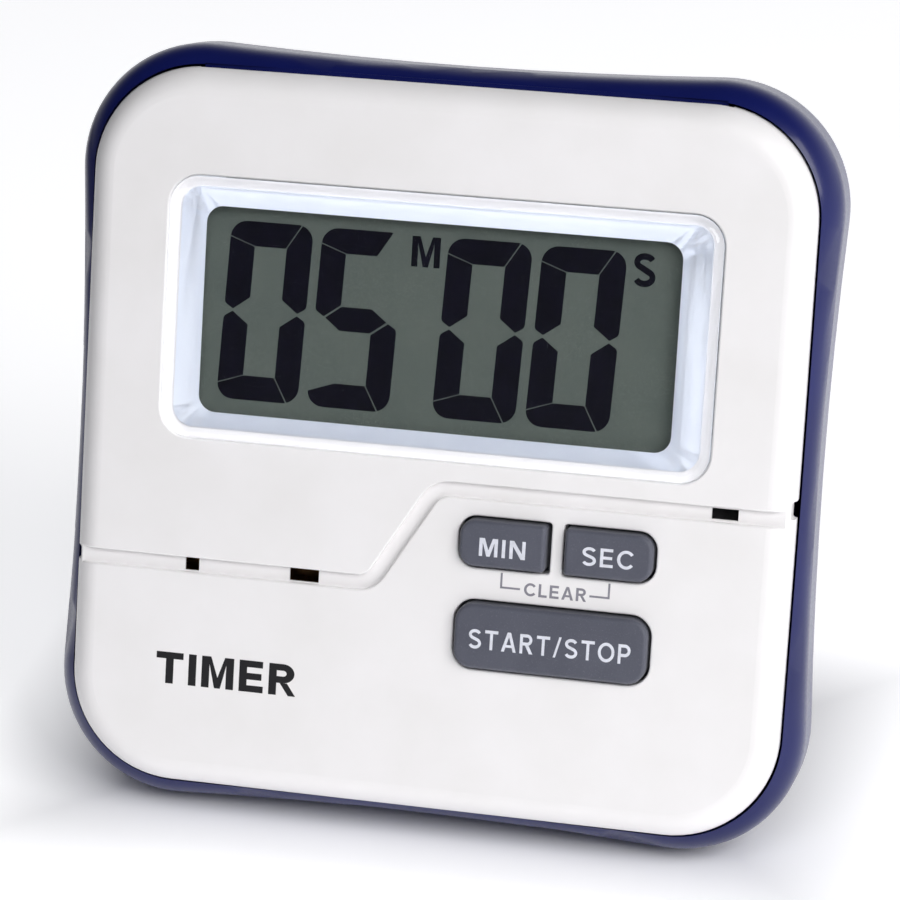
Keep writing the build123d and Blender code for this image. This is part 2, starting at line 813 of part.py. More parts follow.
with BuildPart() as battery_door:
    add(case_envelope.part)
    with BuildSketch(at(door_front)):
        with Locations(((door_left + door_right) / 2, door_bottom + 10.0)):
            Rectangle(door_right - door_left, 20.0)
    extrude(amount=-case_depth, mode=Mode.INTERSECT)
    with BuildSketch(at(door_front)):
        with Locations(
            (door_left - door_tongue / 2, door_bottom + 4.6),
            (door_right + door_tongue / 2, door_bottom + 4.6),
        ):
            Rectangle(door_tongue, 8.0)
    extrude(amount=-door_tongue_thickness)
    # Finger grip: a shallow dish crossed by ridges
    with BuildSketch(at(case_depth)):
        with Locations((trough_middle, door_bottom + 4.6)):
            SlotOverall(18.0, 6.0)
    extrude(amount=0.6, mode=Mode.SUBTRACT)
    with BuildSketch(at(case_depth - 0.6)):
        with Locations((trough_middle, door_bottom + 4.6)):
            with GridLocations(0, 1.3, 1, 3):
                SlotOverall(12.0, 0.6)
    extrude(amount=-0.5)
save(battery_door, "battery_door")

# Stand: a leg on a barrel, open, cut flat where it meets the ground
LEG = Plane(origin=(0, pin_y, pin_z), x_dir=(1, 0, 0), z_dir=(0, leg_cos, leg_sin))
leg_length = (pin_z + leg_outer * leg_sin) / leg_cos
with BuildPart() as stand:
    with BuildSketch(LEG.offset(leg_inner)) as leg_outline:
        with Locations((0, leg_length / 2)):
            Rectangle(leg_width, leg_length)
        fillet(leg_outline.vertices().group_by(Axis.Y)[-1], leg_corner)
    extrude(amount=leg_outer - leg_inner)
    fillet(stand.edges().group_by(Axis(LEG.origin, LEG.z_dir))[-1], leg_edge_round)
    with BuildSketch(Plane(origin=(-leg_width / 2, pin_y, pin_z), z_dir=(1, 0, 0))):
        Circle(barrel_radius)
    extrude(amount=leg_width)
    # Shallow panel in the outer side, with ribs for the finger
    with BuildSketch(LEG.offset(leg_outer)):
        with Locations((0, 30.0)):
            RectangleRounded(leg_width - 5.0, 34.0, 2.5)
    extrude(amount=-0.5, mode=Mode.SUBTRACT)
    with BuildSketch(LEG.offset(leg_outer - 0.5)):
        with Locations((0, 41.5)):
            with GridLocations(0, 2.2, 1, 4):
                SlotOverall(14.0, 0.9)
    extrude(amount=0.5)
    with BuildSketch(Plane(origin=(-leg_width / 2, pin_y, pin_z), z_dir=(1, 0, 0))):
        Circle(pin_radius + 0.04)
    extrude(amount=leg_width, mode=Mode.SUBTRACT)
    split(bisect_by=Plane.XY, keep=Keep.TOP)
save(stand, "stand")

with BuildPart() as hinge_pin:
    with BuildSketch(Plane(origin=(-recess_half_width - 1.6, pin_y, pin_z), z_dir=(1, 0, 0))):
        Circle(pin_radius)
    extrude(amount=2 * recess_half_width + 3.2)
save(hinge_pin, "hinge_pin")

for side, u in (("left", -magnet_u), ("right", magnet_u)):
    with BuildPart() as magnet:
        with BuildSketch(at(magnet_front)):
            with Locations((u, magnet_v)):
                Circle(magnet_radius)
        extrude(amount=-magnet_thickness)
        chamfer(magnet.edges().group_by(OUTWARD)[0], 0.2)
    save(magnet, f"magnet_{side}")

with BuildPart() as case_screws:
    with BuildSketch(at(case_screw_head)):
        with Locations(*case_screw_places):
            Circle(1.95)
    extrude(amount=-1.4)
    fillet(case_screws.edges().group_by(OUTWARD)[0], 0.5)
    with BuildSketch(at(case_screw_head)):
        with Locations(*case_screw_places):
            Circle(1.1)
    extrude(amount=case_screw_head - 4.2)
    with BuildSketch(at(case_screw_head + 1.4)):
        with Locations(*case_screw_places):
            Rectangle(2.2, 0.5)
            Rectangle(0.5, 2.2)
    extrude(amount=0.8, mode=Mode.SUBTRACT)
save(case_screws, "case_screws")
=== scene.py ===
"""Looks of a square lab timer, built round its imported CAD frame.

Places on the face are given in millimetres as u to the right, v up the face and w behind it.
"""

import json
from math import cos, pi, radians, sin

import bmesh
import bpy
from mathutils import Matrix, Vector

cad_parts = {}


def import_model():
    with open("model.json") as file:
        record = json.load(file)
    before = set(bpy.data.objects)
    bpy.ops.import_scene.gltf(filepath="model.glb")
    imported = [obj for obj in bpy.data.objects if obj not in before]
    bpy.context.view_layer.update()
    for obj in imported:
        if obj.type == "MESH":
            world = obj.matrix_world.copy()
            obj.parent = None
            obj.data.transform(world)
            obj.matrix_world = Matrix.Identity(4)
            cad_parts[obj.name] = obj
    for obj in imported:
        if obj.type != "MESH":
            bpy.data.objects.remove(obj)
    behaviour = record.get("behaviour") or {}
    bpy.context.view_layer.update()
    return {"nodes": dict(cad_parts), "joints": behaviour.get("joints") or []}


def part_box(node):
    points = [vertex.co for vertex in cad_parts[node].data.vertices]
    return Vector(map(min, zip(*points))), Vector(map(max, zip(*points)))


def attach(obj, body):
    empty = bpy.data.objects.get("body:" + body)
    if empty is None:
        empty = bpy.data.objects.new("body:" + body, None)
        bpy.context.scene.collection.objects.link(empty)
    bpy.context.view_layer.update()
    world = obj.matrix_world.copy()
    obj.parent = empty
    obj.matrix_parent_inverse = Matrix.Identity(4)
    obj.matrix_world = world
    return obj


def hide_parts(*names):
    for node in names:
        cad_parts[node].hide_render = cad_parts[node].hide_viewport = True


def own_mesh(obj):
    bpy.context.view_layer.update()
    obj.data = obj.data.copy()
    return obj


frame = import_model()

MM = 0.001
nodes = frame["nodes"]
joints = {joint["name"]: joint for joint in frame["joints"]}

# The face's own axes, from the way its keys press and its battery door slides
RIGHT = Vector((1, 0, 0))
INTO = Vector(joints["min_press"]["axis"]).normalized()
UP = Vector(joints["door_slide"]["axis"]).normalized()


def face_origin():
    """Middle of the front panel's face."""
    corners = [vertex.co for vertex in nodes["front_panel"].data.vertices]
    heights = [UP.dot(corner) for corner in corners]
    depth = min(INTO.dot(corner) for corner in corners)
    return UP * (min(heights) + max(heights)) / 2 + INTO * depth


ORIGIN = face_origin()


def spot(u, v, w=0.0):
    """Point in the frame at u across, v up and w behind the face."""
    return ORIGIN + (RIGHT * u + UP * v + INTO * w) * MM


def facing(u, v, w):
    """Matrix that lays a drawing in millimetres on a plane parallel to the face."""
    axes = Matrix((RIGHT * MM, UP * MM, -INTO * MM)).transposed()
    return Matrix.Translation(spot(u, v, w)) @ axes.to_4x4()


def local(node):
    """Lowest and highest u, v and w of a CAD node."""
    places = [vertex.co - ORIGIN for vertex in nodes[node].data.vertices]
    spans = [[axis.dot(place) / MM for place in places] for axis in (RIGHT, UP, INTO)]
    return [min(span) for span in spans], [max(span) for span in spans]


# Materials

MOST_OF_NOISE = (0.3, 0.7)


def srgb(red, green, blue):
    """Linear colour of a screen colour given from 0 to 255."""
    shares = [value / 255 for value in (red, green, blue)]
    linear = [s / 12.92 if s <= 0.04045 else ((s + 0.055) / 1.055) ** 2.4 for s in shares]
    return (*linear, 1.0)


class Graph:
    """Node tree of one material."""

    def __init__(self, name):
        self.material = bpy.data.materials.new(name)
        self.material.use_nodes = True
        self.tree = self.material.node_tree
        self.tree.nodes.clear()
        self.place = self.node("TexCoord").outputs["Object"]

    def node(self, kind, inputs=None, **settings):
        """New node; an input is a number, a colour or another node's output."""
        made = self.tree.nodes.new("ShaderNode" + kind)
        for key, value in settings.items():
            setattr(made, key, value)
        for key, value in (inputs or {}).items():
            if isinstance(value, bpy.types.NodeSocket):
                self.tree.links.new(value, made.inputs[key])
            else:
                made.inputs[key].default_value = value
        return made

    def noise(self, size, detail=2.0, stretch=(1, 1, 1)):
        """Soft noise from 0 to 1 with features of a size in millimetres."""
        place = self.node("Mapping", {"Vector": self.place, "Scale": stretch}).outputs[0]
        settings = {"Vector": place, "Scale": 1 / (size * MM), "Detail": detail}
        return self.node("TexNoise", settings).outputs[0]

    def ramp(self, value, low, high, start=0.0, end=1.0):
        """Number that goes from start to end as a value goes from low to high."""
        settings = {"Value": value, "From Min": low, "From Max": high}
        settings |= {"To Min": start, "To Max": end}
        return self.node("MapRange", settings).outputs[0]

    def mix(self, share, first, second):
        """Colour between two; the Mix node keeps its sockets for colours at these places."""
        return self.node("Mix", {0: share, 6: first, 7: second}, data_type="RGBA").outputs[2]

    def maths(self, operation, first, second=0.0):
        """Result of one operation on one or two numbers."""
        return self.node("Math", {0: first, 1: second}, operation=operation).outputs[0]

    def along(self, direction, origin=ORIGIN):
        """Distance in metres along a direction from an origin."""
        shift = self.node("VectorMath", {0: self.place, 1: tuple(origin)}, operation="SUBTRACT")
        settings = {0: shift.outputs[0], 1: tuple(direction)}
        return self.node("VectorMath", settings, operation="DOT_PRODUCT").outputs["Value"]

    def relief(self, height, depth):
        """Bump of a depth in millimetres."""
        settings = {"Height": height, "Distance": depth * MM, "Strength": 1.0}
        return self.node("Bump", settings).outputs[0]

    def close(self, shader):
        """Material with this shader as its surface."""
        self.node("OutputMaterial", {"Surface": shader.outputs[0]})
        return self.material


def surface(name, colours, patch, rough, grain, fixed=None, stretch=(1, 1, 1), paint=None):
    """Opaque material.

    colours: two close ones, in patches of patch millimetres. rough: lowest and highest roughness.
    grain: size and depth of the relief in millimetres. fixed: shader inputs that are the same all
    over. stretch: scale of the grain along each axis. paint: function of the graph and the mottled
    colour that returns the final colour.
    """
    graph = Graph(name)
    colour = graph.mix(graph.ramp(graph.noise(patch, 3.0), *MOST_OF_NOISE), *colours)
    if paint:
        colour = paint(graph, colour)
    fine = graph.noise(grain[0], 3.0, stretch)
    inputs = {
        "Base Color": colour,
        "Roughness": graph.ramp(fine, *MOST_OF_NOISE, *rough),
        "Normal": graph.relief(fine, grain[1]),
    }
    return graph.close(graph.node("BsdfPrincipled", inputs | (fixed or {})))


def white_plastic():
    """Satin white ABS, finely eroded like its mould and a little mottled."""
    shades = srgb(241, 239, 240), srgb(236, 234, 234)
    return surface("white_abs", shades, 9.0, (0.34, 0.48), (0.22, 0.0035))


def blue_plastic():
    """Navy ABS, smoother than the panel."""
    shades = srgb(17, 25, 88), srgb(15, 22, 80)
    fixed = {"Specular IOR Level": 0.25, "Coat Weight": 0.3, "Coat Roughness": 0.13}
    return surface("navy_abs", shades, 11.0, (0.28, 0.38), (0.3, 0.0025), fixed)


def key_rubber():
    """Dark grey silicone with a fine matte skin and a trace of pale dust."""

    def dust(graph, colour):
        return graph.mix(graph.ramp(graph.noise(0.12), 0.62, 0.75, 0, 0.16), colour,
                         srgb(176, 174, 184))

    shades = srgb(84, 86, 98), srgb(78, 80, 92)
    fixed = {"Sheen Weight": 0.12, "Sheen Roughness": 0.4}
    return surface("silicone", shades, 3.0, (0.5, 0.66), (0.16, 0.006), fixed, paint=dust)


def clear(name, tint, rough, ior):
    """Clear solid that lets light through to what lies behind it."""
    smears = 0.03
    graph = Graph(name)
    haze = graph.ramp(graph.noise(1.5, 4.0), 0.35, 0.75, rough, rough + smears)
    solid = graph.node(
        "BsdfPrincipled",
        {"Base Color": tint, "Roughness": haze, "IOR": ior, "Transmission Weight": 1.0},
    )
    through = graph.node("BsdfTransparent", {"Color": tint})
    shadow = graph.node("LightPath").outputs["Is Shadow Ray"]
    inputs = {0: shadow, 1: solid.outputs[0], 2: through.outputs[0]}
    return graph.close(graph.node("MixShader", inputs))


def clear_acrylic():
    """Polished acrylic lens."""
    return clear("acrylic", (0.985, 0.99, 1.0, 1.0), 0.015, 1.49)


def display_glass():
    """Thin soda-lime plates, faintly green."""
    return clear("display_glass", (0.93, 0.97, 0.94, 1.0), 0.01, 1.52)


def white_print():
    """Bluish white ink on the back of the lens, with the mesh of the screen it was printed by."""
    shades = srgb(230, 236, 247), srgb(226, 232, 245)
    return surface("white_ink", shades, 5.0, (0.42, 0.5), (0.1, 0.001))


def display_film():
    """Grey-green display ground: fine silvery grain behind a matte film."""

    def sparkle(graph, colour):
        grain = graph.ramp(graph.noise(0.09, 1.0), 0.5, 0.75, 0, 0.35)
        return graph.mix(grain, colour, srgb(120, 126, 118))

    shades = srgb(81, 88, 83), srgb(75, 83, 79)
    fixed = {"Specular IOR Level": 0.2}
    return surface("display_ground", shades, 6.0, (0.4, 0.55), (0.09, 0.0015), fixed,
                   paint=sparkle)


def digit_ink():
    """Darkened crystal of a lit segment."""
    shades = srgb(8, 7, 20), srgb(5, 5, 14)
    fixed = {"Specular IOR Level": 0.12}
    return surface("dark_segments", shades, 1.4, (0.34, 0.46), (0.08, 0.001), fixed)


def holder_plastic():
    """Milky moulded plastic."""
    shades = srgb(214, 214, 208), srgb(202, 202, 196)
    return surface("milky_plastic", shades, 4.0, (0.4, 0.55), (0.25, 0.004))


def zebra_rubber():
    """Pink rubber with black conducting layers across it."""
    pitch = 0.25 * MM
    pink_share = 0.55

    def layers(graph, colour):
        phase = graph.maths("FRACT", graph.maths("DIVIDE", graph.along(RIGHT), pitch))
        black = graph.maths("GREATER_THAN", phase, pink_share)
        return graph.mix(black, colour, srgb(28, 27, 29))

    shades = srgb(222, 168, 160), srgb(212, 158, 150)
    return surface("zebra_rubber", shades, 2.0, (0.5, 0.65), (0.2, 0.003), paint=layers)


def carbon_rubber():
    """Black carbon-filled pill."""
    shades = srgb(34, 34, 35), srgb(26, 26, 27)
    return surface("carbon_rubber", shades, 0.8, (0.6, 0.8), (0.1, 0.006))


def board_laminate():
    """Green solder mask over copper tracks that bend squarely round each other."""
    cell = 3.4 * MM
    tracks_per_cell = 4.0
    gap_share = 0.52

    def tracks(graph, colour):
        cells = graph.node(
            "TexVoronoi",
            {"Vector": graph.place, "Scale": 1 / cell, "Randomness": 0.75},
            distance="MANHATTAN",
            feature="F1",
        ).outputs["Distance"]
        rings = graph.maths("FRACT", graph.maths("MULTIPLY", cells, tracks_per_cell))
        copper = graph.maths("GREATER_THAN", rings, gap_share)
        return graph.mix(copper, colour, srgb(46, 118, 62))

    shades = srgb(22, 84, 44), srgb(18, 76, 40)
    fixed = {"Coat Weight": 0.5, "Coat Roughness": 0.15}
    return surface("solder_mask", shades, 5.0, (0.3, 0.4), (0.5, 0.004), fixed, paint=tracks)


def chip_epoxy():
    """Glossy black potting."""
    shades = srgb(22, 22, 23), srgb(16, 16, 17)
    return surface("epoxy", shades, 3.0, (0.12, 0.24), (1.2, 0.02))


def metal(name, colours, rough, stretch, grain=(0.25, 0.002)):
    """Bare metal, with fine lines where it was drawn or rolled one way."""
    return surface(name, colours, 3.0, rough, grain, {"Metallic": 1.0}, stretch)


def crystal_can():
    """Drawn nickel-plated can."""
    shades = srgb(214, 212, 206), srgb(198, 196, 190)
    return metal("crystal_can", shades, (0.2, 0.34), (0.1, 1, 1))


def copper_wire():
    """Enamelled copper, turn beside turn, with painted shade between the turns and a painted
    highlight along each.
    """
    turns_pitch = 0.22 * MM
    graph = Graph("copper_wire")
    phase = graph.maths("DIVIDE", graph.along(INTO), turns_pitch / (2 * pi))
    turn_bump_and_painted_shade = graph.ramp(graph.maths("SINE", phase), -1.0, 1.0)
    # Painted light: each turn goes from dark copper in its crease to bright copper on its crown;
    # the same wave also bumps the surface
    colour = graph.mix(turn_bump_and_painted_shade, srgb(112, 48, 22), srgb(196, 112, 62))
    inputs = {
        "Base Color": colour,
        "Roughness": graph.ramp(graph.noise(0.3), *MOST_OF_NOISE, 0.24, 0.36),
        "Normal": graph.relief(turn_bump_and_painted_shade, 0.05),
        "Metallic": 0.85,
    }
    return graph.close(graph.node("BsdfPrincipled", inputs))


def buzzer_brass():
    """Rolled brass, a little tarnished."""

    def tarnish(graph, colour):
        return graph.mix(graph.ramp(graph.noise(2.2, 4.0), 0.4, 0.7, 0, 0.8), colour,
                         srgb(84, 58, 44))

    shades = srgb(150, 112, 74), srgb(134, 98, 66)
    return surface("brass", shades, 2.5, (0.26, 0.42), (0.3, 0.002), {"Metallic": 1.0},
                   (0.1, 1, 1), tarnish)


def buzzer_ceramic():
    """Silvered ceramic disc."""
    shades = srgb(212, 211, 205), srgb(196, 195, 189)
    return surface("silvered_ceramic", shades, 1.6, (0.42, 0.6), (0.14, 0.004),
                   {"Metallic": 0.7})


def spring_steel():
    """Nickel-plated spring steel."""
    shades = srgb(206, 204, 200), srgb(188, 186, 182)
    return metal("nickel_strip", shades, (0.18, 0.32), (1, 0.15, 1))


def battery_steel():
    """Plated battery can, faintly drawn along its length."""
    shades = srgb(202, 202, 202), srgb(184, 184, 186)
    return metal("plated_can", shades, (0.16, 0.28), (0.12, 1, 1))


def battery_sleeve():
    """Printed foil: charcoal, with a copper-coloured end and a thin pale line between."""
    low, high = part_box("battery_jacket")
    length = high.x - low.x
    copper_end = 0.28
    line_end = 0.30

    def bands(graph, colour):
        share = graph.maths("DIVIDE", graph.along(RIGHT, Vector((low.x, 0, 0))), length)
        line = graph.mix(graph.maths("LESS_THAN", share, line_end), colour, srgb(222, 220, 214))
        return graph.mix(graph.maths("LESS_THAN", share, copper_end), line, srgb(188, 112, 62))

    shades = srgb(38, 40, 46), srgb(33, 35, 41)
    fixed = {"Metallic": 0.35, "Coat Weight": 0.6, "Coat Roughness": 0.12}
    return surface("foil_sleeve", shades, 5.0, (0.24, 0.36), (1.4, 0.008), fixed, paint=bands)


def screw_steel():
    """Zinc-plated steel."""
    shades = srgb(186, 188, 192), srgb(160, 162, 168)
    return metal("zinc_plate", shades, (0.24, 0.4), (1, 1, 1), (0.12, 0.003))


def ferrite():
    """Sintered ferrite: charcoal, with fine bright specks."""

    def specks(graph, colour):
        return graph.mix(graph.ramp(graph.noise(0.07), 0.66, 0.74, 0, 0.5), colour,
                         srgb(128, 128, 132))

    shades = srgb(52, 51, 53), srgb(42, 41, 43)
    return surface("ferrite", shades, 1.0, (0.45, 0.65), (0.12, 0.006), paint=specks)


def darker(colour, share):
    """Colour with only a share of its light."""
    return tuple(share * value for value in colour[:3]) + (1.0,)


def component_ceramic(name, body):
    """Fired body of a chip part."""
    return surface(name, (body, darker(body, 0.8)), 0.5, (0.4, 0.6), (0.1, 0.004))


finishes = {
    "white_plastic": white_plastic(),
    "blue_plastic": blue_plastic(),
    "clear_acrylic": clear_acrylic(),
    "white_print": white_print(),
    "display_film": display_film(),
    "display_glass": display_glass(),
    "holder_plastic": holder_plastic(),
    "zebra_rubber": zebra_rubber(),
    "key_rubber": key_rubber(),
    "carbon_rubber": carbon_rubber(),
    "board_laminate": board_laminate(),
    "chip_epoxy": chip_epoxy(),
    "crystal_can": crystal_can(),
    "capacitor_ceramic": component_ceramic("capacitor_ceramic", srgb(172, 132, 92)),
    "resistor_ceramic": component_ceramic("resistor_ceramic", srgb(36, 36, 40)),
    "ferrite": ferrite(),
    "copper_wire": copper_wire(),
    "buzzer_brass": buzzer_brass(),
    "buzzer_ceramic": buzzer_ceramic(),
    "spring_steel": spring_steel(),
    "battery_steel": battery_steel(),
    "battery_sleeve": battery_sleeve(),
    "screw_steel": screw_steel(),
}

slot_nodes = {
    "white_plastic": ["front_panel"],
    "blue_plastic": ["rear_case", "battery_door", "stand"],
    "clear_acrylic": ["display_lens"],
    "white_print": ["lens_mask"],
    "display_film": ["lcd_front_polariser", "lcd_reflector"],
    "display_glass": ["lcd_front_glass", "lcd_rear_glass"],
    "holder_plastic": ["lcd_holder"],
    "zebra_rubber": ["zebra_strip"],
    "key_rubber": ["min_key", "sec_key", "start_stop_key", "keypad_mat"],
    "carbon_rubber": ["min_pill", "sec_pill", "start_stop_pill"],
    "board_laminate": ["main_board"],
    "chip_epoxy": ["chip_blob"],
    "crystal_can": ["quartz_crystal"],
    "capacitor_ceramic": ["chip_capacitors"],
    "resistor_ceramic": ["chip_resistors"],
    "ferrite": ["coil_core", "magnet_left", "magnet_right"],
    "copper_wire": ["coil_winding"],
    "buzzer_brass": ["piezo_plate"],
    "buzzer_ceramic": ["piezo_ceramic"],
    "spring_steel": ["buzzer_contacts", "positive_contact", "negative_contact", "negative_spring"],
    "battery_steel": ["battery_can"],
    "battery_sleeve": ["battery_jacket"],
    "screw_steel": ["board_screws", "case_screws", "hinge_pin"],
}
for slot, names in slot_nodes.items():
    for name in names:
        nodes[name].data.materials.clear()
        nodes[name].data.materials.append(finishes[slot])


# Pieces made here


def in_scene(name, data):
    """New object in the scene."""
    made = bpy.data.objects.new(name, data)
    bpy.context.scene.collection.objects.link(made)
    return made


def finished(name, mesh):
    """Blender mesh from one built by bmesh, with all its faces outwards."""
    bmesh.ops.recalc_face_normals(mesh, faces=mesh.faces)
    made = bpy.data.meshes.new(name)
    mesh.to_mesh(made)
    mesh.free()
    return made


def piece(name, mesh, matrix, material, body):
    """Object that shows a mesh drawn in millimetres and rides on a body."""
    mesh.transform(matrix)
    mesh.materials.append(material)
    made = in_scene(name, mesh)
    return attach(made, body)


def arc(centre, radius, start, end, steps=6):
    """Points along an arc, its two ends among them, with angles in degrees."""
    angles = [radians(start + (end - start) * step / steps) for step in range(steps + 1)]
    return [(centre[0] + radius * cos(a), centre[1] + radius * sin(a)) for a in angles]


def oval(centre, radii, start, end, steps):
    """Points along an arc of an ellipse."""
    unit = arc((0, 0), 1.0, start, end, steps)
    return [(centre[0] + radii[0] * x, centre[1] + radii[1] * y) for x, y in unit]


def strip(points, width):
    """Outline of a line of one width with square corners."""
    left, right = [], []
    for index, point in enumerate(points):
        here = Vector(point)
        before = (here - Vector(points[index - 1])).normalized() if index else None
        after = (Vector(points[index + 1]) - here).normalized() if index < len(points) - 1 else None
        before, after = before or after, after or before
        sides = Vector((-before.y, before.x)), Vector((-after.y, after.x))
        reach = (sides[0] + sides[1]) * width / 2 / (1 + sides[0].dot(sides[1]))
        left.append(tuple(here + reach))
        right.append(tuple(here - reach))
    return left + right[::-1]


def ribbon(points, width):
    """Shape of a line: its corner points, and the faces between them."""
    outline = strip(points, width)
    last = len(outline) - 1
    return outline, [(i, i + 1, last - i - 1, last - i) for i in range(len(points) - 1)]


def shape(outline):
    """Shape with one face inside its outline."""
    return outline, [tuple(range(len(outline)))]


def plates(name, shapes, thickness):
    """Mesh of flat plates that stand up from the drawing's plane."""
    mesh = bmesh.new()
    for points, faces in shapes:
        corners = [mesh.verts.new((x, y, 0)) for x, y in points]
        for face in faces:
            mesh.faces.new([corners[index] for index in face])
    ground = mesh.verts[:] + mesh.edges[:] + mesh.faces[:]
    raised = bmesh.ops.extrude_face_region(mesh, geom=ground, use_keep_orig=True)["geom"]
    raised = [part for part in raised if isinstance(part, bmesh.types.BMVert)]
    bmesh.ops.translate(mesh, vec=(0, 0, thickness), verts=raised)
    return finished(name, mesh)


def glyphs(s):
    """Plain sans-serif capitals, 10 high, with strokes s wide: letter to width and shapes."""
    half = s / 2
    stem = shape([(0, 0), (s, 0), (s, 10), (0, 10)])

    a_width, a_fork, a_foot = 8.4, 7.7, 1.08 * s
    bar_low, bar_high = 2.2, 2.2 + 0.85 * s
    low_x, high_x = (a_foot + (a_width / 2 - a_foot) * y / a_fork for y in (bar_low, bar_high))
    left_leg = [(0, 0), (3.25, 10), (a_width / 2, 10), (a_width / 2, a_fork), (a_foot, 0)]
    right_leg = [(a_width - x, y) for x, y in left_leg[::-1]]
    a_bar = [(low_x, bar_low), (a_width - low_x, bar_low), (a_width - high_x, bar_high),
             (high_x, bar_high)]

    e_line = [(0, 0), (6.6, 0), (6.6, s), (s, s), (s, 5 - half), (6.1, 5 - half),
              (6.1, 5 + half), (s, 5 + half), (s, 10 - s), (6.4, 10 - s), (6.4, 10), (0, 10)]
    m_line = [(0, 0), (0, 10), (2.5, 10), (4.4, 3.4), (6.3, 10), (8.8, 10), (8.8, 0),
              (8.8 - s, 0), (8.8 - s, 7.6), (5.2, 0), (3.6, 0), (s, 7.6), (s, 0)]
    n_line = [(0, 0), (0, 10), (2.0, 10), (7.5 - s, 3.1), (7.5 - s, 10), (7.5, 10), (7.5, 0),
              (5.5, 0), (s, 6.9), (s, 0)]
    t_line = [(0, 10), (0, 10 - s), (3.7 - half, 10 - s), (3.7 - half, 0), (3.7 + half, 0),
              (3.7 + half, 10 - s), (7.4, 10 - s), (7.4, 10)]

    def bowl(low):
        radius = (10 - half - low) / 2
        bend = arc((6.9 - half - radius, low + radius), radius, 90, -90, 16)
        return ribbon([(s, 10 - half)] + bend + [(s, low)], s)

    o_half = 4.6
    s_line = oval((3.6, 7.3), (3.5 - half, 2.7 - half), 22, 248, 18)
    s_line += oval((3.6, 2.85), (3.6 - half, 2.85 - half), 68, -158, 18)
    return {
        "I": (s, [stem]),
        "L": (6.0, [shape([(0, 0), (6.0, 0), (6.0, s), (s, s), (s, 10), (0, 10)])]),
        "T": (7.4, [shape(t_line)]),
        "E": (6.6, [shape(e_line)]),
        "M": (8.8, [shape(m_line)]),
        "N": (7.5, [shape(n_line)]),
        "A": (a_width, [shape(left_leg), shape(right_leg), shape(a_bar)]),
        "O": (2 * o_half, [ribbon(oval((o_half, 5), (o_half - half, 5 - half), 0, 360, 40), s)]),
        "C": (8.5, [ribbon(oval((o_half, 5), (o_half - half, 5 - half), 38, 322, 32), s)]),
        "S": (7.2, [ribbon(s_line, s)]),
        "P": (6.9, [stem, bowl(4.4)]),
        "R": (7.4, [stem, bowl(5.0), shape([(3.0, 5 - half), (5.0, 5 - half), (7.4, 0),
                                            (5.4, 0)])]),
        "/": (4.4, [shape([(0, -0.3), (1.3, -0.3), (4.4, 10.3), (3.1, 10.3)])]),
    }


def lettering(name, text, size, thickness, stroke, gap=1.5):
    """Mesh of raised capitals, centred, that fill a width and a height in millimetres."""
    alphabet = glyphs(stroke)
    width = sum(alphabet[letter][0] for letter in text) + gap * (len(text) - 1)
    scale = size[0] / width, size[1] / 10
    start = -width / 2
    shapes = []
    for letter in text:
        advance, parts = alphabet[letter]
        for points, faces in parts:
            placed = [((x + start) * scale[0], (y - 5) * scale[1]) for x, y in points]
            shapes.append((placed, faces))
        start += advance + gap
    return plates(name, shapes, thickness)


# Display: four seven-segment digits, leaning a little, and the letters M and S
display_depth = local("lcd_front_polariser")[0][2]
segment_lift = 0.02
digit_half_width = 4.17
digit_half_height = 8.9
digit_middle = 12.39
digit_lean = 0.044
bar = 2.45
corner_round = 1.65
tip_half = 0.12
tip_inset = 0.9
waist_round = 0.6
waist_corner = 1.0
inner_corner = 1.35
middle_half = 3.1
middle_height = 1.2
sign_stroke = 1.9
sign_middle = 19.65
digit_places = {"tens_of_minutes": -17.81, "minutes": -8.56, "tens_of_seconds": 4.12,
                "seconds": 13.42}
digit_shapes = {"tens_of_minutes": "ABCDEF", "minutes": "ACDFG", "tens_of_seconds": "ABCDEF",
                "seconds": "ABCDEF"}


def segments():
    """Outlines of a digit's seven segments, upright and centred, by letter."""
    w, h, r = digit_half_width, digit_half_height, corner_round
    inner_w, inner_h = w - bar - 0.1, h - bar
    top = (
        [(-w, h - 1.52)]
        + arc((-w + r, h - r), r, 175, 90)
        + arc((w - r, h - r), r, 90, 76, 2)
        + [(inner_w - 0.1, inner_h), (-inner_w + 0.06, inner_h)]
    )
    upper_right = (
        arc((w - r, h - r), r, 71.5, 0)
        + arc((w - waist_round, waist_corner), waist_round, 0, -50, 3)
        + [(w - tip_inset, tip_half), (inner_w, inner_corner), (inner_w, inner_h - 0.02)]
    )
    upper_left = [
        (-w, h - 1.63),
        (-inner_w, inner_h - 0.06),
        (-inner_w, inner_corner),
        (-w + tip_inset, tip_half),
    ] + arc((-w + waist_round, waist_corner), waist_round, 230, 180, 3)
    middle = [(-middle_half, 0), (-1.55, middle_height), (1.5, middle_height), (middle_half, 0),
              (1.5, -middle_height), (-1.55, -middle_height)]

    def mirrored(outline):
        return [(x, -y) for x, y in outline[::-1]]

    return {"A": top, "B": upper_right, "F": upper_left, "G": middle, "C": mirrored(upper_right),
            "D": mirrored(top), "E": mirrored(upper_left)}


segment_outlines = segments()
digit_material = digit_ink()
for place, u in digit_places.items():
    leaning = [
        shape([(x + digit_lean * y, y) for x, y in segment_outlines[letter]])
        for letter in digit_shapes[place]
    ]
    piece(f"digit_{place}", plates(place, leaning, segment_lift),
          facing(u, digit_middle, display_depth), digit_material, "case")

for name, text, u, size in (("minutes_sign", "M", -1.9, (2.85, 3.0)),
                            ("seconds_sign", "S", 19.7, (2.2, 3.3))):
    piece(name, lettering(name, text, size, segment_lift, sign_stroke),
          facing(u, sign_middle, display_depth), digit_material, "case")


# Print on the keys and on the panel
print_lift = 0.015


def ink(name, colour):
    """Printed ink, laid on a little unevenly."""
    return surface(name, (colour, darker(colour, 0.85)), 0.6, (0.4, 0.5), (0.08, 0.002))


key_ink = ink("key_ink", srgb(226, 228, 238))
grey_ink = ink("grey_ink", srgb(140, 138, 148))
black_ink = ink("black_ink", srgb(26, 25, 29))

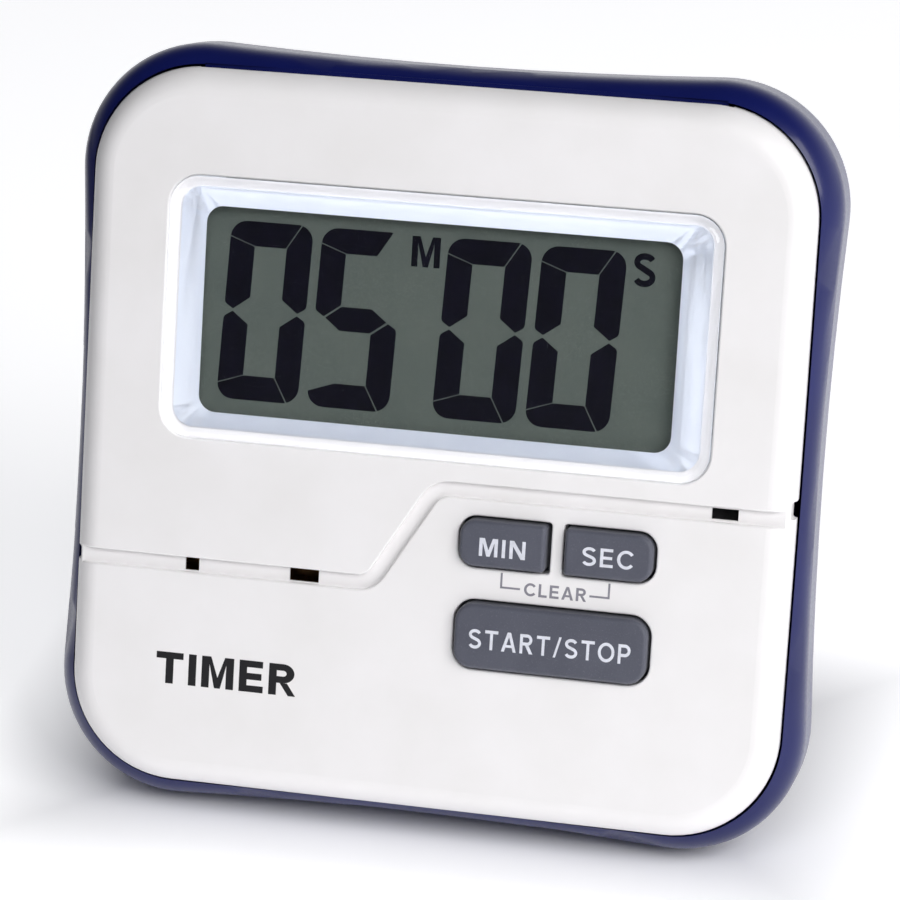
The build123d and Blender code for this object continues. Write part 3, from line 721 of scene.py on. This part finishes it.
key_top = local("min_key")[0][2]
for key, text, place, size in (("min_key", "MIN", (7.96, -8.4), (4.6, 1.8)),
                               ("sec_key", "SEC", (18.42, -8.3), (5.1, 1.85)),
                               ("start_stop_key", "START/STOP", (13.2, -17.6), (16.1, 1.95))):
    mesh = lettering(f"{key}_label", text, size, print_lift, 1.6, 2.0)
    piece(f"{key}_label", mesh, facing(*place, key_top), key_ink, key)

piece("clear_label", lettering("clear_label", "CLEAR", (6.2, 1.3), print_lift, 1.8, 1.9),
      facing(13.3, -12.35, 0), grey_ink, "case")
line_top, line_bottom, line_width = -10.95, -12.4, 0.2
clear_lines = [
    ribbon([(under_key, line_top), (under_key, line_bottom), (by_word, line_bottom)], line_width)
    for under_key, by_word in ((7.9, 9.8), (18.6, 16.7))
]
piece("clear_lines", plates("clear_lines", clear_lines, print_lift), facing(0, 0, 0), grey_ink,
      "case")
piece("name_print", lettering("name_print", "TIMER", (14.5, 3.2), print_lift, 2.1),
      facing(-19.5, -24.0, 0), black_ink, "case")


# Keypad webs: domed skirts under the keys, in place of the frame's webs
def skirt(name, centres, profile, steps=64):
    """Mesh turned from a closed profile of radius and depth, round each centre."""
    mesh = bmesh.new()
    for centre in centres:
        rings = []
        for step in range(steps):
            turn = 2 * pi * step / steps
            rings.append([
                mesh.verts.new((centre[0] + r * cos(turn), centre[1] + r * sin(turn), -w))
                for r, w in profile
            ])
        for step in range(steps):
            here, beside = rings[step], rings[(step + 1) % steps]
            for index in range(len(profile)):
                other = (index + 1) % len(profile)
                face = mesh.faces.new((here[index], beside[index], beside[other], here[other]))
                face.smooth = True
    return finished(name, mesh)


def skirt_profile(low, high, inner, outer, wall):
    """Section of a skirt: a sloping wall between the boss and the mat, with soft bends."""
    steps = 8
    front = []
    for share in [step / steps for step in range(steps + 1)]:
        eased = share * share * (3 - 2 * share)
        front.append((inner + (outer - inner) * share, low + (high - wall - low) * eased))
    back = [(r, w + wall) for r, w in front[::-1]]
    return front + back


boss_margin = 0.4
skirt_gap = 0.03
skirt_wall = 0.35
skirts_under_key = {"min": 1, "sec": 1, "start_stop": 2}


for key, count in skirts_under_key.items():
    web = f"{key}_web"
    low, high = local(web)
    outer = (high[1] - low[1]) / 2
    v = (high[1] + low[1]) / 2
    centres = [(low[0] + outer, v), (high[0] - outer, v)][:count]
    pill_low, pill_high = local(f"{key}_pill")
    boss = (pill_high[1] - pill_low[1]) / 2 + boss_margin
    profile = skirt_profile(low[2], high[2], boss + skirt_gap, outer, skirt_wall)
    made = piece(f"{web}_skirt", skirt(web, centres, profile), facing(0, 0, 0),
                 finishes["key_rubber"], "case")
    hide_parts(web)
    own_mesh(made)


# Stage: floor, lights and camera


def floor():
    """Large white sweep under the timer, with painted shade that greys it far off at the front and
    left, and a painted glow that leaves a painted shadow under the timer.
    """
    half = 1.5
    painted_shadow_half = 0.032, 0.014
    painted_shadow_edge = 0.018
    glow_strength = 0.55
    graph = Graph("pale_floor")
    cloud = graph.mix(graph.ramp(graph.noise(60.0), *MOST_OF_NOISE), srgb(252, 252, 254),
                      srgb(250, 250, 253))
    middle = Vector((0, 0, 0))
    away = graph.along(Vector((-0.8, -0.6, 0)), middle)
    # Painted shade: the floor's colour turns grey far off at the front and left
    shade = graph.ramp(away, 0.075, 0.2)
    # Painted light: the floor glows a little of its own, fading out to the front and left, and none
    # of it under the timer, where the lack of it paints a soft shadow
    across = graph.maths("ABSOLUTE", graph.along(RIGHT, middle))
    behind = graph.along(Vector((0, 1, 0)), middle)
    beside = graph.maths("SUBTRACT", across, painted_shadow_half[0])
    beyond = graph.maths("SUBTRACT", graph.maths("ABSOLUTE", behind), painted_shadow_half[1])
    outside_painted_shadow = graph.ramp(graph.maths("MAXIMUM", beside, beyond), 0.0, painted_shadow_edge)
    glow = graph.maths("MULTIPLY", outside_painted_shadow, graph.ramp(away, 0.06, 0.14, glow_strength, 0.0))
    inputs = {
        "Base Color": graph.mix(shade, cloud, srgb(150, 150, 156)),
        "Roughness": 0.6,
        "Emission Color": (0.99, 0.99, 1.0, 1.0),
        "Emission Strength": glow,
    }
    mesh = bpy.data.meshes.new("floor")
    corners = [(-half, -half, 0), (half, -half, 0), (half, half, 0), (-half, half, 0)]
    mesh.from_pydata(corners, [], [(0, 1, 2, 3)])
    mesh.materials.append(graph.close(graph.node("BsdfPrincipled", inputs)))
    in_scene("floor", mesh)


def softbox(name, place, size, power, colour, mirrored=True):
    """Square light that points at the timer; glossy surfaces may be kept from mirroring it."""
    light = bpy.data.lights.new(name, "AREA")
    light.size = size
    light.energy = power
    light.color = colour
    made = in_scene(name, light)
    made.location = place
    made.rotation_euler = (spot(0, 0) - Vector(place)).to_track_quat("-Z", "Y").to_euler()
    made.visible_glossy = mirrored


def world():
    """White tent all round, with a dark curtain in front, above and to the left."""
    curtain = Vector((-0.3, -0.35, 0.88)).normalized()
    fade = {"From Min": -0.4, "From Max": 0.6, "To Min": 1.15, "To Max": 0.02}
    made = bpy.data.worlds.new("tent")
    made.use_nodes = True
    tree = made.node_tree
    place = tree.nodes.new("ShaderNodeTexCoord")
    nearness = tree.nodes.new("ShaderNodeVectorMath")
    nearness.operation = "DOT_PRODUCT"
    nearness.inputs[1].default_value = curtain
    tree.links.new(place.outputs["Generated"], nearness.inputs[0])
    shade = tree.nodes.new("ShaderNodeMapRange")
    shade.interpolation_type = "SMOOTHSTEP"
    for socket, value in fade.items():
        shade.inputs[socket].default_value = value
    tree.links.new(nearness.outputs["Value"], shade.inputs["Value"])
    background = tree.nodes["Background"]
    background.inputs["Color"].default_value = (0.97, 0.98, 1.0, 1.0)
    tree.links.new(shade.outputs[0], background.inputs["Strength"])
    bpy.context.scene.world = made


def camera():
    """Long lens, a little to the right of the timer and above it."""
    roll = -0.008
    data = bpy.data.cameras.new("camera")
    data.lens = 146.5
    data.clip_start = 0.01
    made = in_scene("camera", data)
    place = spot(74.4, 59.7, -345.0)
    turn = (spot(2.0, 0.7) - place).to_track_quat("-Z", "Y").to_matrix().to_4x4()
    made.matrix_world = Matrix.Translation(place) @ turn @ Matrix.Rotation(roll, 4, "Z")
    bpy.context.scene.camera = made


floor()
world()
softbox("key_light", (0.45, -0.35, 0.42), 0.4, 3.0, (1.0, 0.995, 0.99))
softbox("fill_light", (0.02, -0.6, 0.68), 0.5, 2.4, (0.97, 0.98, 1.0), False)
camera()
bpy.context.scene.view_settings.view_transform = "Standard"
